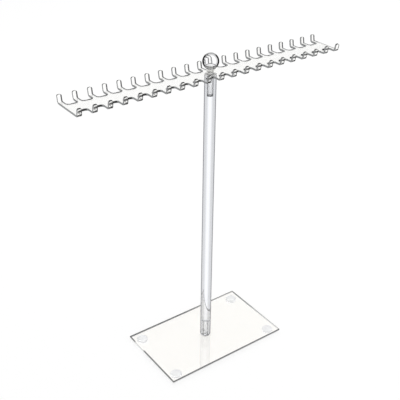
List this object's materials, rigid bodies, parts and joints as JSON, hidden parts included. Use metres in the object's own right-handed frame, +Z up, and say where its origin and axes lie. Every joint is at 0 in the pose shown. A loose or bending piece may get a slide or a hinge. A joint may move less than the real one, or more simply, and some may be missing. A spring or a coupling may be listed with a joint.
{
  "type": "necklace holder stand",
  "caption": "Clear tabletop stand for hanging necklaces: a rectangular base, a round post and a comb bar with hooks bent up along both sides, held by a ball knob.",
  "frame": {"origin": "on the surface that the stand rests on, under the middle of the base and the post", "axes": "+Z up along the post, +X along the hook bar and the long side of the base, +Y across the base, away from the front"},
  "size_m": [0.3, 0.09, 0.3422],
  "materials": {
    "clear_acrylic": "clear polished acrylic, see-through",
    "bumper_rubber": "clear to milky soft rubber bumper"
  },
  "bodies": {
    "root": {"base_plate": "clear_acrylic", "foot_front_left": "bumper_rubber", "foot_front_right": "bumper_rubber", "foot_back_left": "bumper_rubber", "foot_back_right": "bumper_rubber", "base_screw": "clear_acrylic", "post": "clear_acrylic", "hook_bar": "clear_acrylic", "knob_stud": "clear_acrylic", "ball_knob": "clear_acrylic"}
  },
  "joints": []
}
